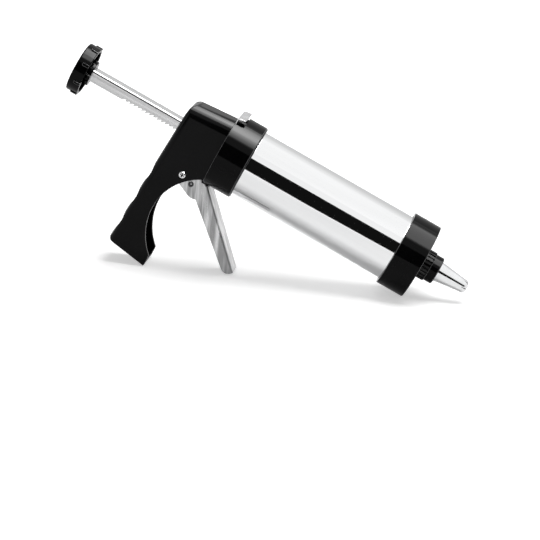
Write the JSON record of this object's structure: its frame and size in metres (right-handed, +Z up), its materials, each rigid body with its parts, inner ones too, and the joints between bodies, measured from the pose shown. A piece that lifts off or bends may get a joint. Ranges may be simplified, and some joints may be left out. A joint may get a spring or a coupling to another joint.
{
  "type": "pastry syringe",
  "caption": "Pistol-grip pastry syringe: steel barrel, trigger with ratchet plunger, thumb release tab, screw-on front cap and a nozzle nut that holds a piping tip.",
  "frame": {"origin": "on the floor under the middle of the part, as it stands on its grip and front cap", "axes": "+X forwards over the floor, from the knob to the piping tip; +Y to the left; +Z up"},
  "size_m": [0.3034, 0.057, 0.1547],
  "materials": {
    "handle_plastic": "satin black moulded plastic",
    "gloss_plastic": "glossy black moulded plastic",
    "barrel_steel": "mirror-polished stainless steel tube",
    "tip_steel": "bright pressed stainless sheet",
    "rod_steel": "folded bright steel sheet",
    "trigger_steel": "mill-finish steel sheet",
    "plate_steel": "bright steel sheet",
    "screw_zinc": "bright zinc-plated fasteners",
    "spring_steel": "drawn spring wire",
    "pawl_steel": "hardened steel",
    "piston_plastic": "natural white moulded plastic",
    "seal_silicone": "translucent silicone"
  },
  "bodies": {
    "housing": {"handle_body": "handle_plastic", "barrel_collar": "gloss_plastic", "collar_screws": "screw_zinc", "barrel_tube": "barrel_steel", "pivot_screw": "screw_zinc", "pivot_sleeve": "screw_zinc", "trigger_spring": "spring_steel", "release_spring": "spring_steel"},
    "plunger": {"plunger_rod": "rod_steel", "plunger_knob": "gloss_plastic", "knob_pin": "screw_zinc", "piston_hub": "gloss_plastic", "piston_pin": "screw_zinc", "piston_disc": "piston_plastic", "piston_seal": "seal_silicone", "piston_screw": "screw_zinc"},
    "trigger": {"trigger": "trigger_steel", "pawl_pin": "screw_zinc", "pawl_spring": "spring_steel"},
    "pawl": {"drive_pawl": "pawl_steel"},
    "release": {"release_plate": "plate_steel"},
    "adapter": {"nozzle_adapter": "gloss_plastic"},
    "cap": {"front_cap": "gloss_plastic"},
    "tip": {"piping_tip": "tip_steel"},
    "nut": {"nozzle_nut": "gloss_plastic"}
  },
  "joints": [
    {"name": "plunger_slide", "type": "slide", "parent": "housing", "child": "plunger", "axis": [0.9185, 0, -0.3954], "range_m": [-0.058, 0.0705]},
    {"name": "trigger_squeeze", "type": "hinge", "parent": "housing", "child": "trigger", "pos_m": [-0.06048, 0, 0.07092], "axis": [0, 1, 0], "range_deg": [0, 28], "stiffness_Nm_per_rad": 0.5, "springref_deg": -20.05, "deforming": ["trigger_spring"]},
    {"name": "pawl_swing", "type": "hinge", "parent": "trigger", "child": "pawl", "pos_m": [-0.05838, 0, 0.08375], "axis": [0, 1, 0], "range_deg": [-28, 0], "deforming": ["pawl_spring"]},
    {"name": "release_press", "type": "slide", "parent": "housing", "child": "release", "axis": [-0.3954, 0, -0.9185], "range_m": [0, 0.0025], "stiffness_N_per_m": 600, "springref_m": -0.002, "deforming": ["release_spring"]},
    {"name": "cap_advance", "type": "slide", "parent": "housing", "child": "adapter", "axis": [0.9185, 0, -0.3954], "range_m": [0, 0.006]},
    {"name": "cap_turn", "type": "hinge", "parent": "adapter", "child": "cap", "pos_m": [0.11595, 0, 0.0259], "axis": [0.9185, 0, -0.3954], "range_deg": [0, 540]},
    {"name": "tip_advance", "type": "slide", "parent": "adapter", "child": "tip", "axis": [0.9185, 0, -0.3954], "range_m": [0, 0.004]},
    {"name": "nut_turn", "type": "hinge", "parent": "tip", "child": "nut", "pos_m": [0.11595, 0, 0.0259], "axis": [0.9185, 0, -0.3954], "range_deg": [0, 720]}
  ],
  "couplings": [
    {"joint": "pawl_swing", "follows": "trigger_squeeze", "ratio": -1},
    {"joint": "cap_advance", "follows": "cap_turn", "m_per_rad": 0.00063662},
    {"joint": "nut_turn", "follows": "tip_advance", "rad_per_m": 3141.6}
  ]
}
